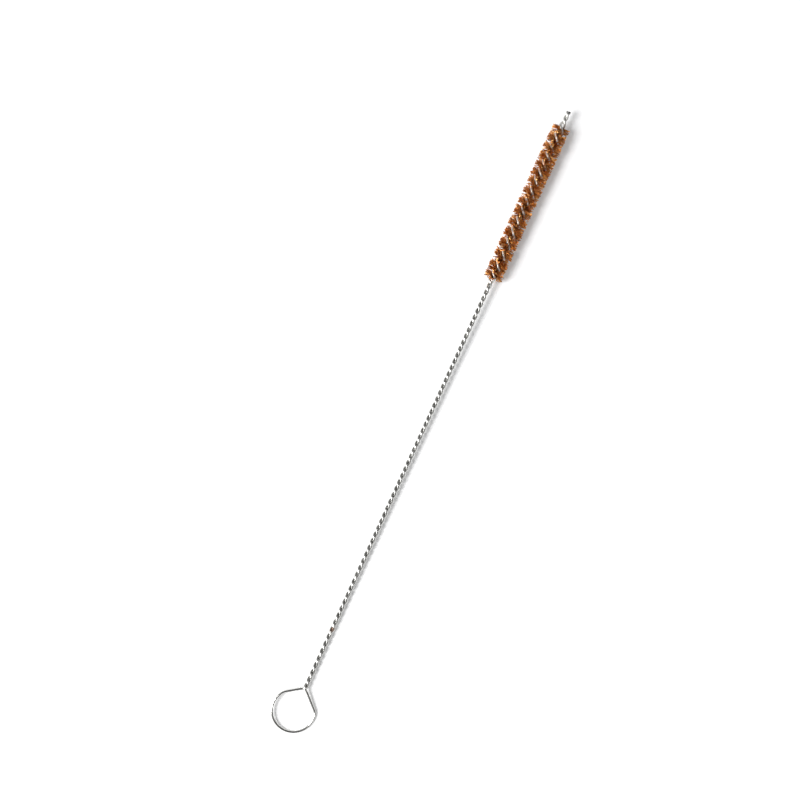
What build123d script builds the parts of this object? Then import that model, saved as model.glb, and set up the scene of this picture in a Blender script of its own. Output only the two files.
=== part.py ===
from build123d import *
import math
import os

os.makedirs("parts", exist_ok=True)

# Brass tip-cleaning brush: one steel wire, folded into a hanging ring and twisted on itself,
# with short brass filaments pinched between its two legs. Millimetres.
# +X runs from the ring's centre along the stem to the brush; the ring lies in the XY plane.

overall_length = 210.0        # outside of the ring to the cut wire ends
wire_d = 0.8                  # steel wire
ring_outer_d = 14.1           # hanging ring, over the wire
ring_shoulder_angle = 55.0    # from +X, where the round of the ring ends
ring_shoulder_r = 2.5         # bend from the round of the ring into its straight leg
ring_leg_angle = 56.0         # leg to the stem axis
neck_length = 1.55            # from the straight leg to the first crossing of the legs
stem_pitch = 4.4              # one full turn of the twist in the bare stem
head_length = 51.2            # length filled with filaments
head_turns = 8                # full turns of the twist in that length
brush_d = 6.0                 # across the filament tips
filament_d = 0.3              # brass filament
filament_layers = 3           # laid on each other between the two legs
tip_length = 5.4              # bare twist past the filaments
tip_pitch = 4.9               # one full turn of that bare twist
flare_length = 2.2            # where the twist opens to take the filaments, and closes again

leg_gap = 0.02                # between the two legs where nothing is pinched
layer_gap = 0.01              # between two layers of filaments
pinch_gap = 0.01              # between the outer layers and the legs that hold them
filament_gap = 0.015          # least room between neighbouring filaments along the stem

wire_r = wire_d / 2
ring_r = ring_outer_d / 2 - wire_r
bare_radius = wire_r + leg_gap / 2
layer_pitch = filament_d + layer_gap
pinched_radius = wire_r + pinch_gap + (filament_layers * layer_pitch - layer_gap) / 2
tip_lean = math.atan(2 * math.pi * bare_radius / tip_pitch)
tip_x = overall_length - ring_outer_d / 2 - wire_r * math.sin(tip_lean)
head_end_x = tip_x - tip_length
head_start_x = head_end_x - head_length
head_pitch = head_length / head_turns


def in_ring(angle, radius, centre=(0.0, 0.0)):
    """A point of the ring's plane, by its angle about a centre."""
    turn = math.radians(angle)
    return Vector(centre[0] + radius * math.cos(turn), centre[1] + radius * math.sin(turn), 0)


def on_twist(x, radius, phase):
    """A point of the first leg, with the phase measured from +Y towards +Z."""
    return Vector(x, radius * math.cos(phase), radius * math.sin(phase))


def along_twist(radius, slope, growth, phase):
    """The direction of the first leg at that point: slope and growth are per millimetre of stem."""
    side = growth * math.cos(phase) - radius * slope * math.sin(phase)
    rise = growth * math.sin(phase) + radius * slope * math.cos(phase)
    return Vector(1, side, rise).normalized()


def twist_slope(pitch):
    """Phase per millimetre; the twist is left-handed, so it falls along +X."""
    return -2 * math.pi / pitch


def helix_pieces(start_x, end_x, radius, pitch, phase):
    """A stretch of constant twist, in pieces of about one turn, and the phase at its end."""
    count = max(1, round((end_x - start_x) / pitch))
    length = (end_x - start_x) / count
    coils = []
    for number in range(count):
        coil = Edge.make_helix(pitch, length, radius, center=(0, 0, 0), normal=(1, 0, 0), lefthand=True)
        turned = coil.rotate(Axis.X, math.degrees(phase) - 90)
        coils.append(Pos(start_x + number * length, 0, 0) * turned)
        phase += twist_slope(pitch) * length
    return coils, phase


def flare_piece(start_x, end_x, radii, pitches, phase):
    """A stretch where the radius and the twist change smoothly, and the phase at its end."""
    length = end_x - start_x
    slopes = [twist_slope(pitch) for pitch in pitches]
    steps = 10
    points = []
    for step in range(steps + 1):
        part = step / steps
        ease = part * part * (3 - 2 * part)
        eased_area = part ** 3 - part ** 4 / 2
        radius = radii[0] + (radii[1] - radii[0]) * ease
        turn = slopes[0] * part + (slopes[1] - slopes[0]) * eased_area
        points.append(on_twist(start_x + part * length, radius, phase + turn * length))
    end_phase = phase + (slopes[0] + slopes[1]) / 2 * length
    ends = [
        along_twist(radii[0], slopes[0], 0, phase),
        along_twist(radii[1], slopes[1], 0, end_phase),
    ]
    return Edge.make_spline(points, tangents=ends), end_phase


def ring_pieces():
    """Half of the ring's centreline, from its far side to the end of its straight leg."""
    inner = in_ring(ring_shoulder_angle, ring_r - ring_shoulder_r)
    centre = (inner.X, inner.Y)
    last_angle = 90 - ring_leg_angle
    mid_angle = (ring_shoulder_angle + last_angle) / 2
    round_end = in_ring(ring_shoulder_angle, ring_r)
    shoulder_end = in_ring(last_angle, ring_shoulder_r, centre)
    down = Vector(math.cos(math.radians(ring_leg_angle)), -math.sin(math.radians(ring_leg_angle)), 0)
    to_axis = shoulder_end.Y / math.sin(math.radians(ring_leg_angle))
    leg_end = shoulder_end + down * (to_axis - neck_length)
    crossing = shoulder_end + down * to_axis
    far_side = in_ring(180, ring_r)
    top_side = in_ring((180 + ring_shoulder_angle) / 2, ring_r)
    mid_shoulder = in_ring(mid_angle, ring_shoulder_r, centre)
    pieces = [
        Edge.make_three_point_arc(far_side, top_side, round_end),
        Edge.make_three_point_arc(round_end, mid_shoulder, shoulder_end),
        Edge.make_line(shoulder_end, leg_end),
    ]
    return pieces, leg_end, down, crossing.X


def leg_centreline():
    """The centreline of one leg, from the ring's far side to its cut end, and the phase at the brush."""
    pieces, leg_end, leg_way, crossing_x = ring_pieces()
    phase = -math.pi / 2
    neck_x = crossing_x + bare_radius / 2
    neck_way = along_twist(bare_radius, twist_slope(stem_pitch), 0, phase)
    neck = Edge.make_spline([leg_end, on_twist(neck_x, bare_radius, phase)], tangents=[leg_way, neck_way])
    pieces.append(neck)
    open_x = head_start_x - flare_length
    stem, phase = helix_pieces(neck_x, open_x, bare_radius, stem_pitch, phase)
    pieces.extend(stem)
    opening, phase = flare_piece(
        open_x, head_start_x, (bare_radius, pinched_radius), (stem_pitch, head_pitch), phase
    )
    pieces.append(opening)
    head_phase = phase
    head, phase = helix_pieces(head_start_x, head_end_x, pinched_radius, head_pitch, phase)
    pieces.extend(head)
    closed_x = head_end_x + flare_length
    closing, phase = flare_piece(
        head_end_x, closed_x, (pinched_radius, bare_radius), (head_pitch, tip_pitch), phase
    )
    pieces.append(closing)
    tip, phase = helix_pieces(closed_x, tip_x, bare_radius, tip_pitch, phase)
    pieces.extend(tip)
    return pieces, head_phase


def core_wire(pieces):
    """The whole wire: one leg swept from the ring's far side, and the same leg turned half round."""
    path = Wire(pieces)
    section = Plane(origin=path @ 0, z_dir=path % 0) * Circle(wire_r)
    leg = sweep(section, path=path, is_frenet=True)
    other = leg.rotate(Axis.X, 180)
    return leg + other


def filament(x, phase, offset):
    """One straight filament, square to the line between the two legs and offset along that line."""
    outward = Vector(0, math.cos(phase), math.sin(phase))
    along = Vector(0, -math.sin(phase), math.cos(phase))
    half_length = math.sqrt((brush_d / 2) ** 2 - offset ** 2)
    start = Vector(x, 0, 0) + outward * offset - along * half_length
    return Solid.make_cylinder(filament_d / 2, 2 * half_length, Plane(origin=start, z_dir=along))


def bristle_rows(head_phase):
    """The filaments of the brush, in rows of a quarter turn of the twist."""
    rows = 4 * head_turns
    row_length = head_length / rows
    places = int(row_length / (filament_d + filament_gap))
    spacing = row_length / places
    made = []
    for row in range(rows):
        filaments = []
        for place in range(places):
            x = (row * places + place + 0.5) * spacing
            phase = head_phase + twist_slope(head_pitch) * x
            for layer in range(filament_layers):
                offset = (layer - (filament_layers - 1) / 2) * layer_pitch
                filaments.append(filament(head_start_x + x, phase, offset))
        made.append(filaments)
    return made


centreline, brush_phase = leg_centreline()
wire = core_wire(centreline)
wire.label = "core_wire"
export_step(wire, "parts/core_wire.step")

for number, filaments in enumerate(bristle_rows(brush_phase), 1):
    name = f"bristle_row_{number:02d}"
    row = Compound(label=name, children=filaments)
    export_step(row, f"parts/{name}.step")
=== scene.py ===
import math
import random

import bpy
import numpy as np
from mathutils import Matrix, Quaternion, Vector


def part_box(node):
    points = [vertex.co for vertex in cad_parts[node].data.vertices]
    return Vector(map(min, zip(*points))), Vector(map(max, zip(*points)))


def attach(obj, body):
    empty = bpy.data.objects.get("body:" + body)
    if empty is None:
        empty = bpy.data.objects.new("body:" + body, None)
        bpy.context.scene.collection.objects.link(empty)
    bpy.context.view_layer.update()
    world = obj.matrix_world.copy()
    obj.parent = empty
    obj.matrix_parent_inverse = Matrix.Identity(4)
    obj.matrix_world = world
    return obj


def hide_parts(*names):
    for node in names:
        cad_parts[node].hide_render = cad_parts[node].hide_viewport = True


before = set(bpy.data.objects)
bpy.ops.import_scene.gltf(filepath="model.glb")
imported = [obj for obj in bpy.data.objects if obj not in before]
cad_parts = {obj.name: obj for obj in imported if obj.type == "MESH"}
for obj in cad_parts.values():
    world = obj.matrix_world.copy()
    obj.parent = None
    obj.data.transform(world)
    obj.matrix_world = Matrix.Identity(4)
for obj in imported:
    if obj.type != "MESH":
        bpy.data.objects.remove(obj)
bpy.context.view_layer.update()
millimetre = 0.001
weldDistance = 0.01 * millimetre
print("frame loaded, nodes:", len(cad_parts))


def selectOnly(piece):
    bpy.ops.object.select_all(action="DESELECT")
    piece.select_set(True)
    bpy.context.view_layer.objects.active = piece


def easeInOut(part):
    part = min(max(part, 0.0), 1.0)
    return part * part * (3 - 2 * part)


def between(low, high, part):
    return low + (high - low) * part


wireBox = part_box("core_wire")
rowNames = sorted(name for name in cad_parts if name.startswith("bristle_row_"))
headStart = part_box(rowNames[0])[0].x / millimetre
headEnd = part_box(rowNames[-1])[1].x / millimetre
tipX = wireBox[1].x / millimetre
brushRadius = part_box(rowNames[0])[1].y / millimetre

wireShape = {
    "radius": 0.4,            # all lengths here are millimetres
    "ringRadius": 6.62,
    "ringCentreY": 0.43,      # the ring sits a little to one side of the stem
    "ringTurn": 0.08,         # and is turned out of flat: rise per millimetre across
    "ringDroop": 0.05,        # and fall per millimetre away from the neck
    "legGap": 0.01,           # each leg's own surface to the axis, in the bare twist
    "pinchedRadius": 0.86,    # the legs' centres to the axis, in the brush
    "flareLength": 2.6,
    "stepLength": 0.18,
    "roundness": 8,           # the bevel's resolution
    "sharpAngle": 40.0,       # degrees
    "sagDepth": 0.55,         # the stem's bow, between the ring and the brush
    "sagEnds": (1.0, 22.0, 105.0, 152.0),
    "twistEase": (-0.8, -0.4, 0, 0.4, 0.8),    # steps either way that the twist is averaged over
    "cutRoom": 0.1,           # the legs stop this far before the wire's end
}

# points along each stretch of a leg before the twist
legSteps = {"round": 40, "shoulder": 12, "straight": 6, "neck": 12}

# how each leg leaves the round of the ring, in degrees and millimetres
ringSides = {
    1: {"shoulderAngle": 58, "shoulderRadius": 3.7, "legAngle": 56, "toCrossing": 1.3},
    -1: {"shoulderAngle": 79, "shoulderRadius": 2.9, "legAngle": 46, "toCrossing": 2.2},
}

# hand-turned twist: places along the stem, and half turns made up to each
twistMarks = [
    (7.9, 0), (9.7, 1), (12.0, 2), (31.3, 10), (54.3, 20), (76.5, 30), (98.2, 40), (119.5, 50),
    (138.6, 59), (144.9, 62), (147.3, 63), (150.4, 64), (154.5, 65), (158.0, 66), (161.7, 67),
    (165.3, 68), (169.0, 69), (172.1, 70), (175.6, 71), (178.8, 72), (181.8, 73), (184.6, 74),
    (187.4, 75), (190.2, 76), (193.7, 77), (197.2, 78), (199.6, 79), (201.7, 80), (203.8, 81),
]
neckX = twistMarks[0][0]


def sag(x):
    start, down, up, end = wireShape["sagEnds"]
    falling = easeInOut((x - start) / (down - start))
    rising = easeInOut((end - x) / (end - up))
    return -wireShape["sagDepth"] * falling * rising


def twistRadiusAt(x):
    w = wireShape
    bare = w["radius"] + w["legGap"]
    opened = easeInOut((x - headStart + w["flareLength"]) / w["flareLength"])
    closed = easeInOut((x - headEnd) / w["flareLength"])
    return between(bare, w["pinchedRadius"], opened * (1 - closed))


def phaseAt(x):
    # a left-handed twist: the phase, from +Y towards +Z, falls along the stem
    places, turns = zip(*twistMarks)
    shifts = wireShape["twistEase"]
    nearby = [float(np.interp(x + shift, places, turns)) for shift in shifts]
    isEased = x > neckX + shifts[-1]
    halfTurns = sum(nearby) / len(nearby) if isEased else nearby[len(nearby) // 2]
    return -math.pi * (halfTurns + 0.5)


def smoothJoin(start, startWay, end, endWay, steps):
    # the points between two ends of a cubic curve that leaves and arrives in given directions
    reach = (end - start).length
    points = []
    for i in range(1, steps):
        t = i / steps
        a = 2 * t ** 3 - 3 * t ** 2 + 1
        b = t ** 3 - 2 * t ** 2 + t
        c = -2 * t ** 3 + 3 * t ** 2
        d = t ** 3 - t ** 2
        points.append(start * a + startWay * reach * b + end * c + endWay * reach * d)
    return points


def inRing(degrees):
    angle = math.radians(degrees)
    return Vector((math.cos(angle), math.sin(angle), 0))


def ringSidePoints(side):
    # from the far side of the ring to the end of its straight leg
    s, w, steps = ringSides[side], wireShape, legSteps
    points = []
    for i in range(steps["round"]):
        angle = between(180, s["shoulderAngle"], i / (steps["round"] - 1))
        points.append(inRing(angle) * w["ringRadius"])
    centre = inRing(s["shoulderAngle"]) * (w["ringRadius"] - s["shoulderRadius"])
    lastAngle = 90 - s["legAngle"]
    for i in range(1, steps["shoulder"] + 1):
        angle = between(s["shoulderAngle"], lastAngle, i / steps["shoulder"])
        points.append(centre + inRing(angle) * s["shoulderRadius"])
    way = inRing(-s["legAngle"])
    shoulderEnd = points[-1]
    legLength = shoulderEnd.y / -way.y - s["toCrossing"]
    for i in range(1, steps["straight"] + 1):
        points.append(shoulderEnd + way * (legLength * i / steps["straight"]))
    for p in points:
        p.y = p.y * side + w["ringCentreY"]
        p.z = sag(p.x) + p.y * w["ringTurn"] - (neckX - p.x) * w["ringDroop"]
    way.y *= side
    return points, way


def legPoints(side):
    w = wireShape
    points, way = ringSidePoints(side)
    shift = 0 if side == 1 else math.pi      # the second leg is half a turn behind
    x = neckX
    twist = []
    while x < tipX - w["cutRoom"]:
        phase, radius = phaseAt(x) + shift, twistRadiusAt(x)
        twist.append(Vector((x, radius * math.cos(phase), radius * math.sin(phase) + sag(x))))
        x += w["stepLength"]
    ahead = (twist[1] - twist[0]).normalized()
    neck = smoothJoin(points[-1], way, twist[0], ahead, legSteps["neck"])
    return points + neck + twist


leftLeg = legPoints(1)
rightLeg = legPoints(-1)
wirePath = list(reversed(rightLeg)) + leftLeg[1:]
print("wire path points:", len(wirePath))


def newGroup(name, inputs, outputs):
    group = bpy.data.node_groups.new(name, "ShaderNodeTree")
    for way, sockets in (("INPUT", inputs), ("OUTPUT", outputs)):
        for label, kind in sockets:
            group.interface.new_socket(label, in_out=way, socket_type=kind)
    return group


def addNode(tree, kind, x=0, y=0, **values):
    node = tree.nodes.new(kind)
    node.location = (x, y)
    for key, value in values.items():
        setattr(node, key, value)
    return node


def feed(tree, socket, value):
    # another node's output is linked, a plain value is set
    if isinstance(value, bpy.types.NodeSocket):
        tree.links.new(value, socket)
    else:
        socket.default_value = value


def mapRange(tree, x, y, value, fromRange=(0, 1), toRange=(0, 1)):
    node = addNode(tree, "ShaderNodeMapRange", x, y)
    labels = ("From Min", "From Max", "To Min", "To Max")
    for label, number in zip(labels, (*fromRange, *toRange)):
        node.inputs[label].default_value = number
    feed(tree, node.inputs["Value"], value)
    return node.outputs[0]


def calculate(tree, x, y, operation, *values):
    node = addNode(tree, "ShaderNodeMath", x, y, operation=operation)
    for socket, value in zip(node.inputs, values):
        feed(tree, socket, value)
    return node.outputs[0]


def mixColours(tree, x, y, part, first, second):
    node = addNode(tree, "ShaderNodeMix", x, y, data_type="RGBA")
    # when it mixes colours, its factor, A and B are inputs 0, 6 and 7
    for number, value in zip((0, 6, 7), (part, first, second)):
        feed(tree, node.inputs[number], value)
    return node.outputs[2]


marksDetail = {"lines": 3.0, "tone": 4.0}


def makeDrawnMarks():
    # fine lines that a drawing die leaves along a wire, and slow changes of tone
    group = newGroup(
        "drawnMarks",
        [("Vector", "NodeSocketVector"), ("Around", "NodeSocketFloat"),
         ("Along", "NodeSocketFloat"), ("Patches", "NodeSocketFloat")],
        [("Lines", "NodeSocketFloat"), ("Tone", "NodeSocketFloat")])
    start = addNode(group, "NodeGroupInput", -800)
    end = addNode(group, "NodeGroupOutput", 400)
    join = addNode(group, "ShaderNodeCombineXYZ", -600, -100)
    stretch = addNode(group, "ShaderNodeVectorMath", -400, 0, operation="MULTIPLY")
    lines = addNode(group, "ShaderNodeTexNoise", -200, 0)
    lines.inputs["Scale"].default_value = 1.0
    lines.inputs["Detail"].default_value = marksDetail["lines"]
    where = addNode(group, "ShaderNodeTexCoord", -600, -300)
    tone = addNode(group, "ShaderNodeTexNoise", -200, -300)
    tone.inputs["Detail"].default_value = marksDetail["tone"]
    feed(group, join.inputs[0], start.outputs["Along"])
    feed(group, join.inputs[1], start.outputs["Around"])
    feed(group, stretch.inputs[0], start.outputs["Vector"])
    feed(group, stretch.inputs[1], join.outputs[0])
    feed(group, lines.inputs["Vector"], stretch.outputs[0])
    feed(group, tone.inputs["Vector"], where.outputs["Object"])
    feed(group, tone.inputs["Scale"], start.outputs["Patches"])
    feed(group, end.inputs["Lines"], lines.outputs["Fac"])
    feed(group, end.inputs["Tone"], tone.outputs["Fac"])
    return group


drawnMarks = makeDrawnMarks()


def startMetal(name, marksLook):
    # a metal with the marks of its drawing along the wire's own UV
    metal = bpy.data.materials.new(name)
    metal.use_nodes = True
    tree = metal.node_tree
    tree.nodes["Principled BSDF"].inputs["Metallic"].default_value = 1.0
    wireUv = addNode(tree, "ShaderNodeUVMap", -1400, 200, uv_map="wireUv")
    marks = addNode(tree, "ShaderNodeGroup", -1200, 200, node_tree=drawnMarks)
    for label, value in marksLook.items():
        marks.inputs[label].default_value = value
    feed(tree, marks.inputs["Vector"], wireUv.outputs[0])
    return metal, marks


steelLook = {
    "bright": (0.86, 0.855, 0.83, 1),
    "dull": (0.62, 0.615, 0.58, 1),
    # near-black grime and painted shade for the valley between the two twisted legs
    "grimeAndShadeColour": (0.045, 0.042, 0.032, 1),
    "rust": (0.42, 0.26, 0.18, 1),
    "roughness": (0.13, 0.27),
    "scuffed": 0.24,              # roughness that the twisting adds, most of it in the brush
    "dirtRoughness": 0.35,        # and that the full grime and painted shade mask adds
    "valley": (0.52, 0.30),       # millimetres from the twist's axis: none, full grime and painted shade
    "patches": (0.25, 0.6),       # tones between which the grime and painted shade go from least to full
    "leastGrimeAndShade": 0.55,
    "rustSpot": (27.7, -0.1, 0.1),
    "rustReach": (1.1, 0.44),     # millimetres from that spot: no rust, most rust
    "mostRust": 0.75,
    "bumpStrength": 0.1,
    "bumpDepth": 0.03,            # millimetres
    "marks": {"Around": 26.0, "Along": 0.9, "Patches": 420.0},
}


def makeSteel():
    look = steelLook
    steel, marks = startMetal("drawnSteel", look["marks"])
    tree = steel.node_tree
    shader = tree.nodes["Principled BSDF"]
    tone = marks.outputs["Tone"]
    base = mixColours(tree, -900, 300, tone, look["bright"], look["dull"])
    # distance from the twist's axis finds the valley between the two legs, darkened with grime and
    # painted shade
    fromAxis = addNode(tree, "ShaderNodeAttribute", -800, -300, attribute_name="fromAxis")
    inValley = mapRange(tree, -600, -300, fromAxis.outputs["Fac"], look["valley"])
    patchy = mapRange(tree, -600, -800, tone, look["patches"], (look["leastGrimeAndShade"], 1))
    valleyGrimeAndShade = calculate(tree, -200, -500, "MULTIPLY", inValley, patchy)
    soiledAndShaded = mixColours(tree, -600, 300, valleyGrimeAndShade, base, look["grimeAndShadeColour"])
    # one small rust stain on the stem
    place = addNode(tree, "ShaderNodeTexCoord", -1400, -300)
    toSpot = addNode(tree, "ShaderNodeVectorMath", -1200, -900, operation="DISTANCE")
    toSpot.inputs[1].default_value = [v * millimetre for v in look["rustSpot"]]
    feed(tree, toSpot.inputs[0], place.outputs["Object"])
    reach = [v * millimetre for v in look["rustReach"]]
    spot = mapRange(tree, -1000, -900, toSpot.outputs["Value"], reach, (0, look["mostRust"]))
    rusted = mixColours(tree, -300, 300, spot, soiledAndShaded, look["rust"])
    feed(tree, shader.inputs["Base Color"], rusted)
    fine = mapRange(tree, -600, 0, marks.outputs["Lines"], toRange=look["roughness"])
    dirty = calculate(tree, -300, 0, "MULTIPLY_ADD", valleyGrimeAndShade, look["dirtRoughness"], fine)
    scuffs = addNode(tree, "ShaderNodeAttribute", -600, -550, attribute_name="scuffs")
    rough = calculate(tree, -150, 0, "MULTIPLY_ADD", scuffs.outputs["Fac"], look["scuffed"], dirty)
    feed(tree, shader.inputs["Roughness"], rough)
    bump = addNode(tree, "ShaderNodeBump", -300, -200)
    bump.inputs["Strength"].default_value = look["bumpStrength"]
    bump.inputs["Distance"].default_value = look["bumpDepth"] * millimetre
    feed(tree, bump.inputs["Height"], marks.outputs["Lines"])
    feed(tree, shader.inputs["Normal"], bump.outputs[0])
    return steel


brassLook = {
    "dark": (0.30, 0.095, 0.018, 1),
    "middle": (0.72, 0.29, 0.072, 1),
    "light": (0.98, 0.61, 0.24, 1),
    # painted shade deep in the brush, where the filaments shade each other
    "paintedCoreShade": (0.33, 0.14, 0.04, 1),
    "stops": (0.2, 0.55, 0.9),    # tones at which dark, middle and light stand
    "ownTone": 0.6,               # the share of each filament's own tone
    "patchTone": 0.5,             # and of the patches along it
    "paintedShadeDepth": (0.5, 0.1),          # parts of the way out: no painted shade, as dark as the painted core shade
    "roughness": (0.30, 0.48),
    "marks": {"Around": 9.0, "Along": 0.8, "Patches": 900.0},
}


def makeBrass():
    look = brassLook
    brass, marks = startMetal("drawnBrass", look["marks"])
    tree = brass.node_tree
    shader = tree.nodes["Principled BSDF"]
    tone = addNode(tree, "ShaderNodeAttribute", -1400, -100, attribute_name="filamentTone")
    own = calculate(tree, -1200, -100, "MULTIPLY", tone.outputs["Fac"], look["ownTone"])
    mixed = calculate(tree, -1000, -100, "MULTIPLY_ADD",
                      marks.outputs["Tone"], look["patchTone"], own)
    ramp = addNode(tree, "ShaderNodeValToRGB", -800, 0)
    stops = ramp.color_ramp.elements
    stops[0].position, stops[1].position = look["stops"][0], look["stops"][2]
    stops[0].color, stops[1].color = look["dark"], look["light"]
    stops.new(look["stops"][1]).color = look["middle"]
    feed(tree, ramp.inputs[0], mixed)
    reach = addNode(tree, "ShaderNodeAttribute", -1400, -300, attribute_name="filamentReach")
    # painted shade: each filament darkens towards the wire, deep in the brush
    paintedShadeDepth = mapRange(tree, -800, -300, reach.outputs["Fac"], look["paintedShadeDepth"])
    shaded = mixColours(tree, -400, 100, paintedShadeDepth, ramp.outputs[0], look["paintedCoreShade"])
    feed(tree, shader.inputs["Base Color"], shaded)
    rough = mapRange(tree, -600, -100, marks.outputs["Lines"], toRange=look["roughness"])
    feed(tree, shader.inputs["Roughness"], rough)
    return brass


drawnSteel = makeSteel()
drawnBrass = makeBrass()
print("materials made")


cutShape = {
    "slope": 32.0,            # degrees between the wire and each face of its cut end
    "ridge": 0.05,            # half the width of the ridge left between the two faces
    "turn": (20.0, 65.0),     # how each end's ridge is turned
    "reach": 2.0,             # the cut takes only the leg's last millimetres
    "aside": 0.45,            # and only this close to the leg's own line
}


def cutEnd(wire, leg, turn):
    # a side cutter leaves two slopes that meet in a ridge across the wire
    c = cutShape
    end = leg[-1] * millimetre
    ahead = (leg[-1] - leg[-3]).normalized()
    flat = ahead.orthogonal().normalized()
    across = Quaternion(ahead, math.radians(turn)) @ flat
    slope = math.radians(c["slope"])
    for side in (-1, 1):
        bpy.ops.object.mode_set(mode="EDIT")
        bpy.ops.mesh.select_all(action="DESELECT")
        bpy.ops.object.mode_set(mode="OBJECT")
        for vert in wire.data.vertices:
            near = (vert.co - end) / millimetre
            aside = near - ahead * near.dot(ahead)
            vert.select = near.length < c["reach"] and aside.length < c["aside"]
        bpy.ops.object.mode_set(mode="EDIT")
        facing = ahead * math.sin(slope) + across * side * math.cos(slope)
        edge = end + across * side * c["ridge"] * millimetre
        bpy.ops.mesh.bisect(plane_co=edge, plane_no=facing, use_fill=True, clear_outer=True)
        bpy.ops.object.mode_set(mode="OBJECT")


def unrollWire(wire):
    # u then runs along the wire in millimetres, v once around it
    length = sum((b - a).length for a, b in zip(wirePath, wirePath[1:]))
    uv = wire.data.uv_layers[0]
    uv.name = "wireUv"
    corners = np.zeros(2 * len(uv.data))
    uv.data.foreach_get("uv", corners)
    corners[::2] *= length
    uv.data.foreach_set("uv", corners)


wireWear = {
    "clear": 9.0,             # stands for a point nowhere near the twist's axis
    "inStem": 0.4,            # how scuffed the twist is in the bare stem
    "inBrush": 0.6,           # and how much more from the brush on
}


def markWear(wire):
    wear = wireWear
    fromAxis, scuffs = [], []
    for vert in wire.data.vertices:
        x, y, z = vert.co / millimetre
        inTwist = neckX < x < headEnd
        fromAxis.append(math.hypot(y, z - sag(x)) if inTwist else wear["clear"])
        scuffs.append(wear["inStem"] * (x > neckX) + wear["inBrush"] * (x > headStart))
    for name, values in (("fromAxis", fromAxis), ("scuffs", scuffs)):
        marks = wire.data.attributes.new(name, "FLOAT", "POINT")
        marks.data.foreach_set("value", values)


def makeWire():
    bpy.ops.object.select_all(action="DESELECT")
    bpy.ops.curve.primitive_nurbs_path_add()
    wire = bpy.context.object
    wire.name = "coreWire"
    curve = wire.data
    curve.splines.clear()
    line = curve.splines.new("POLY")
    line.points.add(len(wirePath) - 1)
    for point, place in zip(line.points, wirePath):
        point.co = (*(place * millimetre), 1)
    curve.dimensions = "3D"
    curve.twist_mode = "MINIMUM"
    curve.bevel_depth = wireShape["radius"] * millimetre
    curve.bevel_resolution = wireShape["roundness"]
    curve.use_fill_caps = True
    selectOnly(wire)
    bpy.ops.object.convert(target="MESH")
    wire = bpy.context.object
    bpy.ops.object.mode_set(mode="EDIT")
    bpy.ops.mesh.select_all(action="SELECT")
    bpy.ops.mesh.remove_doubles(threshold=weldDistance)
    bpy.ops.mesh.normals_make_consistent(inside=False)
    bpy.ops.object.mode_set(mode="OBJECT")
    unrollWire(wire)
    markWear(wire)
    for leg, turn in zip((leftLeg, rightLeg), cutShape["turn"]):
        cutEnd(wire, leg, turn)
    bpy.ops.object.shade_smooth_by_angle(angle=math.radians(wireShape["sharpAngle"]))
    print("wire faces:", len(wire.data.polygons))
    return wire


coreWire = makeWire()
coreWire.data.materials.clear()
coreWire.data.materials.append(drawnSteel)
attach(coreWire, "root")
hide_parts("core_wire")


filamentShape = {
    "diameter": 0.25,         # millimetres
    "layers": 4,
    "packing": 0.97,          # of the diameter, from layer to layer
    "spacing": 0.185,
    "sides": 5,
    "rings": 12,
    "leanToTip": 2.0,         # degrees
    "leanSpread": 24.0,
    "fanSpread": 34.0,
    "crimp": 0.09,            # height of the waves pressed into the wire
    "crimpLength": 2.3,
    "lengthSpread": 0.035,
    "tipFan": 24.0,           # extra lean of the last filaments
    "leastTipFan": 0.3,       # the least share of it that one takes
    "tipFanLength": 1.6,
    "startLean": -4.0,        # the first filaments lean no further back
    "startShare": 0.4,        # the share of the ease at the brush's start where that holds
    "placeSpread": 0.3,       # of the spacing
    "shortest": (-0.4, 1),    # shares of lengthSpread that a filament loses
    "anyTurn": 6.28,          # radians
    "trim": (0.05, 0.1),      # past the last filament: least, and how much more
    "leanEase": 0.3,          # how soon the lean and the fan set in, as powers of the way out
    "fanEase": 0.5,
    "sharpAngle": 80.0,       # degrees
    "seed": 7,
}


def wrapUv(mesh):
    # u runs along the filament in millimetres, v once around it
    uv = mesh.uv_layers.new(name="wireUv")
    for face in mesh.polygons:
        turns = {}
        for i in face.loop_indices:
            place = mesh.vertices[mesh.loops[i].vertex_index].co
            turns[i] = math.atan2(place.y, place.x) / (2 * math.pi) % 1
        seam = max(turns.values()) - min(turns.values()) > 0.5
        for i, turn in turns.items():
            reach = mesh.vertices[mesh.loops[i].vertex_index].co.z * brushRadius
            uv.data[i].uv = (reach, turn + 1 if seam and turn < 0.5 else turn)


def makeFilament():
    # straight, from -1 to 1 along Z, before it is bent into its place
    f = filamentShape
    bpy.ops.object.select_all(action="DESELECT")
    bpy.ops.mesh.primitive_circle_add(vertices=f["sides"], radius=f["diameter"] / 2,
                                      fill_type="NGON", location=(0, 0, -1))
    filament = bpy.context.object
    filament.name = "filament"
    bpy.ops.object.mode_set(mode="EDIT")
    bpy.ops.mesh.select_all(action="SELECT")
    for ring in range(f["rings"]):
        bpy.ops.mesh.extrude_region_move(
            TRANSFORM_OT_translate={"value": (0, 0, 2 / f["rings"])})
    bpy.ops.mesh.select_all(action="SELECT")
    bpy.ops.mesh.normals_make_consistent(inside=False)
    bpy.ops.object.mode_set(mode="OBJECT")
    bpy.ops.object.transform_apply(location=True, rotation=True, scale=True)
    bpy.ops.object.shade_smooth_by_angle(angle=math.radians(f["sharpAngle"]))
    wrapUv(filament.data)
    filament.data.materials.append(drawnBrass)
    filament.data.attributes.new("filamentTone", "FLOAT", "POINT")
    reach = filament.data.attributes.new("filamentReach", "FLOAT", "POINT")
    for value, vert in zip(reach.data, filament.data.vertices):
        value.value = abs(vert.co.z)
    return filament


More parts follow.
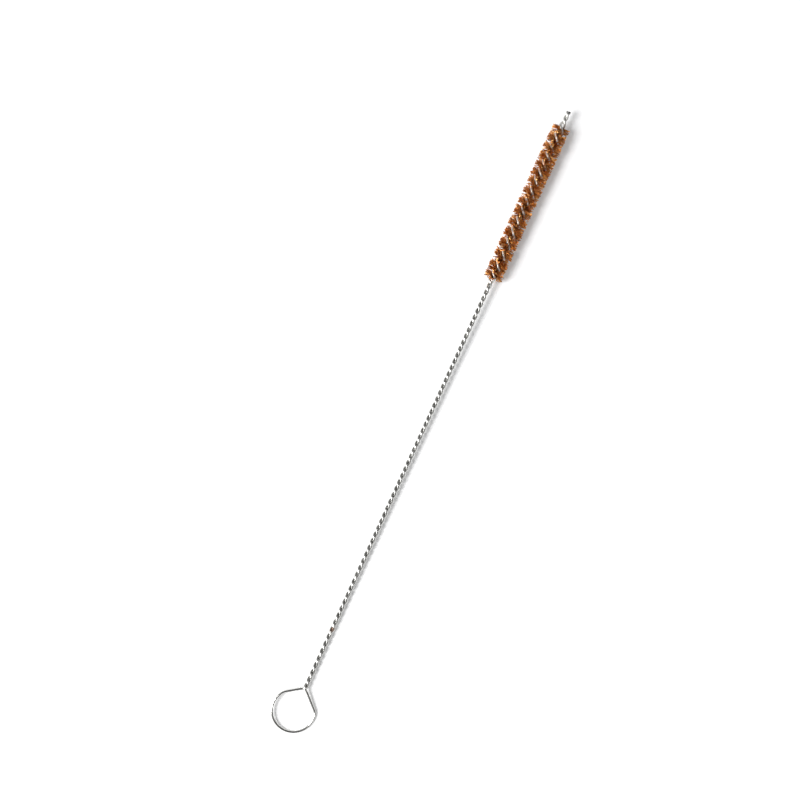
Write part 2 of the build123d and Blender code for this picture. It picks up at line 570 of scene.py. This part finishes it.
def bentFilament(shape, x, phase, offset, leans, fans, halves, wave):
    # the straight filament's points, moved onto one bent line
    f = filamentShape
    outward = np.array([0, math.cos(phase), math.sin(phase)])
    reach = shape[:, 2]
    size = np.abs(reach)
    up = reach >= 0
    lean = np.radians(np.where(up, leans[0], leans[1])) * size ** f["leanEase"]
    fan = np.radians(np.where(up, fans[0], fans[1])) * size ** f["fanEase"]
    out = size * np.where(up, halves[0], halves[1])
    turn = phase + fan
    sign = np.sign(reach)
    alongY, alongZ = -np.sin(turn) * sign, np.cos(turn) * sign
    flat = np.cos(lean) * out
    centre = np.stack([x + np.sin(lean) * out, alongY * flat, alongZ * flat], axis=1)
    # crimped wire: a wave in a direction of its own, dying away where it is pinched
    swing = f["crimp"] * np.sin(2 * math.pi * out * sign / f["crimpLength"] + wave[0])
    swing = swing * np.minimum(out, 1)
    centre += outward * (offset + swing * math.cos(wave[1]))[:, None]
    centre[:, 0] += swing * math.sin(wave[1])
    # the section's own two directions: across the stem's axis, and along it
    sideWay = np.stack([np.zeros_like(turn), np.cos(turn), np.sin(turn)], axis=1)
    stemWay = np.stack([np.cos(lean), -alongY * np.sin(lean), -alongZ * np.sin(lean)], axis=1)
    return centre + sideWay * shape[:, [0]] + stemWay * shape[:, [1]]


def layFilament(master, shape, x, layer, dice):
    f = filamentShape
    offset = (layer - (f["layers"] - 1) / 2) * f["diameter"] * f["packing"]
    toTip = easeInOut((x - headEnd + f["tipFanLength"]) / f["tipFanLength"])
    toStem = easeInOut((headStart + f["tipFanLength"] - x) / f["tipFanLength"])
    leans, fans, halves = [], [], []
    for half in range(2):
        lean = f["leanToTip"] + dice.uniform(-1, 1) * f["leanSpread"]
        lean += f["tipFan"] * toTip * dice.uniform(f["leastTipFan"], 1)
        leans.append(max(lean, f["startLean"]) if toStem > f["startShare"] else lean)
        fans.append(dice.uniform(-1, 1) * f["fanSpread"])
        longest = math.sqrt(brushRadius ** 2 - offset ** 2) - f["crimp"] / 3
        halves.append(longest * (1 - dice.uniform(*f["shortest"]) * f["lengthSpread"]))
    wave = (dice.uniform(0, f["anyTurn"]), dice.uniform(0, f["anyTurn"]))
    copy = master.copy()
    copy.data = master.data.copy()
    points = bentFilament(shape, x, phaseAt(x), offset, leans, fans, halves, wave)
    # the trimmed end of the brush: nothing stands past its last filament
    least, more = f["trim"]
    points[:, 0] = np.minimum(points[:, 0], headEnd + least + more * dice.random())
    copy.data.vertices.foreach_set("co", (points * millimetre).ravel())
    tone = copy.data.attributes["filamentTone"]
    tone.data.foreach_set("value", [dice.random()] * len(shape))
    bpy.context.scene.collection.objects.link(copy)
    return copy


def makeRows():
    f = filamentShape
    master = makeFilament()
    shape = np.zeros(3 * len(master.data.vertices))
    master.data.vertices.foreach_get("co", shape)
    shape = shape.reshape(-1, 3)
    dice = random.Random(f["seed"])
    edges = [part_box(name)[1].x / millimetre for name in rowNames]
    rows = [[] for name in rowNames]
    for place in range(int((headEnd - headStart) / f["spacing"])):
        for layer in range(f["layers"]):
            astray = dice.uniform(-f["placeSpread"], f["placeSpread"])
            x = headStart + (place + 0.5 + astray) * f["spacing"]
            near = next((i for i, edge in enumerate(edges) if x <= edge), len(edges) - 1)
            rows[near].append(layFilament(master, shape, x, layer, dice))
    bpy.data.objects.remove(master)
    for name, filaments in zip(rowNames, rows):
        bpy.ops.object.select_all(action="DESELECT")
        for filament in filaments:
            filament.select_set(True)
        bpy.context.view_layer.objects.active = filaments[0]
        bpy.ops.object.join()
        row = bpy.context.object
        row.name = name.replace("bristle_row_", "brassRow")
        row.data.name = row.name
        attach(row, "root")
        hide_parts(name)
    return [rowFilaments[0] for rowFilaments in rows]


brassRows = makeRows()
print("filament rows:", len(brassRows), "faces:", sum(len(r.data.polygons) for r in brassRows))


studio = {
    "floorColour": (0.86, 0.86, 0.865, 1),
    "floorUnderRing": 1.4,        # millimetres below the ring's middle
    "floorSize": 6.0,             # metres
    "floorRoughness": 0.85,
    "floorGlow": 0.27,            # a table lit from below a little
    "worldColour": (0.97, 0.98, 1.0),
    "low": 0.7,                   # how bright the pale walls are
    "lowAt": 0.05,                # the sine of the height where they begin to darken
    "darkLean": 20.0,             # degrees the dark above leans away from the light
    "high": 0.1,                  # and the dark above them
    "highAt": 0.45,               # the sine of the height from which it is all dark
    "keyFrom": (-1.0, -0.18),     # in the view, from the left and a little below
    "keyElevation": 51.0,
    "keyDistance": 1.6,           # metres
    "keySize": (0.72, 0.8),
    "keyPower": 31.0,             # watts
}


def makeFloor():
    # it slopes a little, to touch both the brush and the ring
    s = studio
    drop = (brushRadius - s["floorUnderRing"]) / headStart
    bpy.ops.object.select_all(action="DESELECT")
    bpy.ops.mesh.primitive_plane_add(size=s["floorSize"],
                                     location=(0, 0, -s["floorUnderRing"] * millimetre),
                                     rotation=(0, math.atan(drop), 0))
    floor = bpy.context.object
    floor.name = "floor"
    paper = bpy.data.materials.new("whitePaper")
    paper.use_nodes = True
    sockets = paper.node_tree.nodes["Principled BSDF"].inputs
    sockets["Base Color"].default_value = s["floorColour"]
    sockets["Roughness"].default_value = s["floorRoughness"]
    sockets["Emission Color"].default_value = (1, 1, 1, 1)
    sockets["Emission Strength"].default_value = s["floorGlow"]
    floor.data.materials.append(paper)


makeFloor()

view = {
    "centre": (100.6, 10.33),     # millimetres, the place in the middle of the view
    "distance": 600.0,
    "width": 246.0,               # millimetres seen across the view at the stem
    "roll": 65.44,                # the stem's slope in the view, degrees
    "sensor": 36.0,               # millimetres
    "clip": (0.005, 20),          # metres
}


def pictureWay(across, upward):
    # the view's right and up, as a direction along the floor
    roll = math.radians(view["roll"])
    right = Vector((math.cos(roll), -math.sin(roll), 0))
    up = Vector((math.sin(roll), math.cos(roll), 0))
    return (right * across + up * upward).normalized()


def makeCamera():
    v = view
    place = Vector((*v["centre"], v["distance"])) * millimetre
    bpy.ops.object.camera_add(location=place, rotation=(0, 0, -math.radians(v["roll"])))
    camera = bpy.context.object
    camera.name = "pictureCamera"
    camera.data.sensor_width = v["sensor"]
    camera.data.lens = v["sensor"] * v["distance"] / v["width"]
    camera.data.clip_start, camera.data.clip_end = v["clip"]
    bpy.context.scene.camera = camera


makeCamera()


def makeRoom():
    s = studio
    world = bpy.data.worlds.new("softRoom")
    bpy.context.scene.world = world
    world.use_nodes = True
    tree = world.node_tree
    sky = addNode(tree, "ShaderNodeTexCoord", -800)
    toDark = addNode(tree, "ShaderNodeVectorMath", -600, operation="DOT_PRODUCT")
    lean = math.radians(s["darkLean"])
    away = -pictureWay(*s["keyFrom"])
    toDark.inputs[1].default_value = Vector((0, 0, math.cos(lean))) + away * math.sin(lean)
    shade = addNode(tree, "ShaderNodeValToRGB", -400)
    for element, part in zip(shade.color_ramp.elements, ("low", "high")):
        element.position = s[part + "At"]
        element.color = [value * s[part] for value in s["worldColour"]] + [1]
    feed(tree, toDark.inputs[0], sky.outputs["Generated"])
    feed(tree, shade.inputs[0], toDark.outputs["Value"])
    feed(tree, tree.nodes["Background"].inputs["Color"], shade.outputs[0])


def makeKeyLight():
    s = studio
    lift = math.radians(s["keyElevation"])
    way = pictureWay(*s["keyFrom"]) * math.cos(lift) + Vector((0, 0, math.sin(lift)))
    target = Vector((view["centre"][0] * millimetre, 0, 0))
    place = target + way * s["keyDistance"]
    bpy.ops.object.light_add(type="AREA", location=place)
    key = bpy.context.object
    key.name = "keyLight"
    key.data.shape = "RECTANGLE"
    key.data.size, key.data.size_y = s["keySize"]
    key.data.energy = s["keyPower"]
    key.rotation_mode = "QUATERNION"
    key.rotation_quaternion = (target - place).to_track_quat("-Z", "Y")


makeRoom()
makeKeyLight()
bpy.context.scene.view_settings.view_transform = "Standard"
print("stage set")
